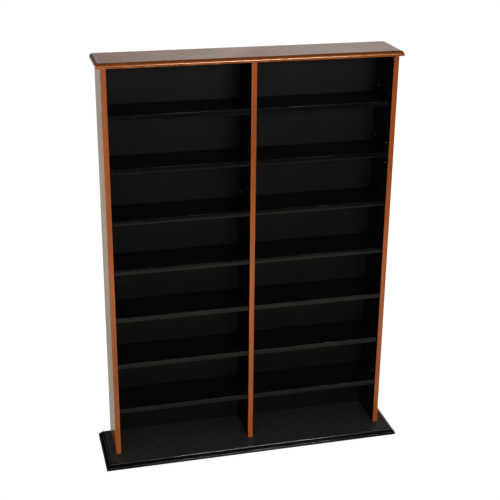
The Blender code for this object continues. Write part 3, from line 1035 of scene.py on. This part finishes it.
def makeNails():
    profile = [(nail["headRadius"] * out, nail["headHeight"] * up) for out, up in nail["dome"]]
    profile += [
        (nail["shankRadius"], -nail["neck"]),
        (nail["shankRadius"], -nail["length"] + nail["point"]),
        (0, -nail["length"]),
    ]
    pattern = turnedSolid(profile, nail["sides"])
    mesh = bpy.data.meshes.new("nailPattern")
    pattern.to_mesh(mesh)
    pattern.free()
    low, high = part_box("back_sheet_right")
    columns = [uprightX["left_side"], -nail["fromSeam"], nail["fromSeam"], uprightX["right_side"]]
    run = high.z - low.z - 2 * nail["fromEnd"]
    count = int(run / nail["spacing"])
    heights = [low.z + nail["fromEnd"] + run / count * index for index in range(count + 1)]
    spots = [(x, z) for x in columns for z in heights]
    for left, right in columnFaces.values():
        spots += [(left + (right - left) * share, shelfZ[fixedLevel]) for share in nail["shelfShares"]]
    wander = random.Random(nail["seed"])
    solid = bmesh.new()
    for x, z in spots:
        first = len(solid.verts)
        solid.from_mesh(mesh)
        solid.verts.ensure_lookup_table()
        fresh = solid.verts[first:]
        lean = [math.radians(wander.uniform(-nail["lean"], nail["lean"])) for _ in range(2)]
        turn = Matrix.Rotation(-math.pi / 2 + lean[0], 4, "X") @ Matrix.Rotation(lean[1], 4, "Y")
        x += wander.uniform(-1, 1) * nail["wander"] * (abs(x) > nearMiddle)
        free = abs(z - shelfZ[fixedLevel]) > nail["level"]
        z += wander.uniform(-nail["upDown"], nail["upDown"]) * nail["wander"] * free
        bmesh.ops.transform(solid, matrix=Matrix.Translation((x, rearY, z)) @ turn, verts=fresh)
    bpy.data.meshes.remove(mesh)
    newPiece("backNails", solid, ["nail"], "cabinet", [], smooth=True)


# Floor: white to the camera but for the shadow, plain for matt faces, and a shaped card for gloss
floorLook = {
    "half": 40.0,
    "tone": 0.8,
    "shown": 0.80,            # share of the floor's white that no shadow reaches
    "glow": 1.22,
    "cardReach": 3.0,
    "card": [                 # places along Y, and how bright gloss sees the floor there
        # the dip to 0.04 from Y -0.16 to -0.1, just in front of the base, is a painted shadow of the base in
        # the floor that gloss sees
        (-2.6, 0.05), (-1.9, 0.45), (-1.3, 1.0), (-0.9, 0.9), (-0.5, 0.6), (-0.24, 0.5), (-0.16, 0.04),
        (-0.1, 0.04), (-0.02, 0.54), (0.7, 0.5), (1.6, 0.6),
    ],
    "cardRight": (1.6, 0.9, 0.05, 1.3),   # X, from and to, and the card's power there
    "cardTint": (0.95, 0.925, 0.79),
}


def makeFloor():
    solid = bmesh.new()
    bmesh.ops.create_grid(solid, x_segments=1, y_segments=1, size=floorLook["half"])
    mesh = bpy.data.meshes.new("floor")
    solid.to_mesh(mesh)
    solid.free()
    material = bpy.data.materials.new("paleFloor")
    material.use_nodes = True
    tree = material.node_tree
    tree.nodes.clear()
    path = addNode(tree, "ShaderNodeLightPath", (-900, 300)).outputs
    shown = addMath(tree, (-600, 300), "MULTIPLY", path["Is Camera Ray"], floorLook["shown"])
    seen = addMath(tree, (-600, 100), "MAXIMUM", path["Is Glossy Ray"], path["Is Transmission Ray"])
    where = addNode(tree, "ShaderNodeTexCoord", (-1200, -200)).outputs["Object"]
    parts = addNode(tree, "ShaderNodeSeparateXYZ", (-1050, -200), {0: where}).outputs
    reach = floorLook["cardReach"]
    along = addRange(tree, (-900, -150), parts["Y"], -reach, reach)
    places = [(y / reach + 1) / 2 for y, bright in floorLook["card"]]
    card = addRamp(tree, (-720, -150), along, places, [(bright,) * 3 for y, bright in floorLook["card"]])
    power = addRange(tree, (-720, -400), parts["X"], *floorLook["cardRight"])
    mirrored = addMath(tree, (-450, -250), "MULTIPLY", card, power)
    matt = addNode(tree, "ShaderNodeBsdfDiffuse", (-350, 100), {"Color": (floorLook["tone"],) * 3}).outputs[0]
    white = addGlow(tree, "ShaderNodeEmission", (-350, 0), (1, 1, 1), floorLook["glow"])
    shine = addGlow(tree, "ShaderNodeEmission", (-350, -150), floorLook["cardTint"], mirrored)
    direct = addChoice(tree, (-100, 100), shown, matt, white)
    mixed = addChoice(tree, (100, 0), seen, direct, shine)
    addNode(tree, "ShaderNodeOutputMaterial", (300, 0), {"Surface": mixed})
    mesh.materials.append(material)
    floor = bpy.data.objects.new("floor", mesh)
    bpy.context.scene.collection.objects.link(floor)


# World: white to the camera, even light for matt faces, and a pale band round the horizon for gloss
worldLook = {
    "softLight": 0.32,
    "bandTint": (0.78, 0.745, 0.69),
    "bandTop": 18,                    # degrees above the horizon
    "bandEnd": 28,
    "bandLight": 1.0,
    "sky": 0.05,                      # above the band
    "behind": (-0.5, 0.5, 0.25, 1.0),     # along Y: from and to, and the band's share there
    "dimmed": (-0.22, 0.1, 0.04, 1.0),    # the same along X, from left to right
    "rising": (0.1, 0.24, 0.95, 1.33),
    "falling": (0.48, 0.62, 1.0, 0.06),
}


def makeWorld():
    world = bpy.data.worlds.new("studio")
    bpy.context.scene.world = world
    world.use_nodes = True
    tree = world.node_tree
    tree.nodes.clear()
    toward = addNode(tree, "ShaderNodeTexCoord", (-1000, 0)).outputs["Generated"]
    parts = addNode(tree, "ShaderNodeSeparateXYZ", (-800, 0), {0: toward}).outputs
    top, end = (math.sin(math.radians(worldLook[name])) for name in ("bandTop", "bandEnd"))
    raised = addRange(tree, (-600, 0), parts["Z"], top, end, worldLook["bandLight"], worldLook["sky"])
    behind = addRange(tree, (-600, -250), parts["Y"], *worldLook["behind"])
    dimmed = addRange(tree, (-600, -500), parts["X"], *worldLook["dimmed"])
    rising = addRange(tree, (-600, -750), parts["X"], *worldLook["rising"])
    falling = addRange(tree, (-600, -1000), parts["X"], *worldLook["falling"])
    raised = addMath(tree, (-400, 0), "MULTIPLY", raised, behind)
    across = addMath(tree, (-400, -600), "MULTIPLY", dimmed, rising)
    across = addMath(tree, (-400, -800), "MULTIPLY", across, falling)
    strength = addMath(tree, (-400, -250), "MULTIPLY", raised, across)
    around = addGlow(tree, "ShaderNodeBackground", (-200, 0), worldLook["bandTint"], strength)
    path = addNode(tree, "ShaderNodeLightPath", (-900, 300)).outputs
    even = addRange(tree, (-600, 300), path["Is Camera Ray"], 0.0, 1.0, worldLook["softLight"], 1.0)
    plain = addGlow(tree, "ShaderNodeBackground", (-200, 200), (1, 1, 1), even)
    seen = addMath(tree, (-200, 400), "MAXIMUM", path["Is Glossy Ray"], path["Is Transmission Ray"])
    mixed = addChoice(tree, (0, 0), seen, plain, around)
    addNode(tree, "ShaderNodeOutputWorld", (200, 0), {"Surface": mixed})


# Two broad lights that gloss doesn't see, and two strips that only gloss sees, for the mouldings
lamps = {
    "keyLight": {
        "place": (-0.3, -3.0, 0.75), "size": (1.2, 1.2), "power": 67.0, "colour": (1.0, 0.955, 0.875),
        "unseen": "visible_glossy",
    },
    "stripLight": {
        "place": (0.82, -3.2, 2.05), "size": (1.1, 0.45), "power": 90.0, "colour": (1.0, 1.0, 1.0),
        "unseen": "visible_diffuse",
    },
    "wideStrip": {
        "place": (1.0, -3.2, 2.05), "size": (3.3, 0.45), "power": 65.0, "colour": (1.0, 1.0, 1.0),
        "unseen": "visible_diffuse",
    },
    "fillLight": {
        "place": (3.2, 2.6, 0.9), "size": (2.0, 2.0), "power": 60.0, "colour": (1.0, 0.97, 0.92),
        "unseen": "visible_glossy",
    },
}
lampAim = Vector((0.0, 0.0, 0.65))


def makeLights():
    for name, given in lamps.items():
        data = bpy.data.lights.new(name, "AREA")
        data.shape = "RECTANGLE"
        data.size, data.size_y = given["size"]
        data.energy = given["power"]
        data.color = given["colour"]
        light = bpy.data.objects.new(name, data)
        light.location = given["place"]
        light.rotation_euler = (lampAim - light.location).to_track_quat("-Z", "Y").to_euler()
        setattr(light, given["unseen"], False)
        bpy.context.scene.collection.objects.link(light)


setCamera()
makeFloor()
makeWorld()
makeLights()
bpy.context.scene.view_settings.view_transform = "Standard"
print("camera, floor and light ready")

makeTop()
makeBase()
print("top and base made")
makeUprights()
makeBands()
print("uprights made")
for side in columnFaces:
    for level in levels:
        makeShelf(side, level)
        if level != fixedLevel:
            makeWire(side, level, "left")
            makeWire(side, level, "right")
print("shelves and wires made")
makeBack()
makeNails()
makeScrews()
print("back, nails and screws made")
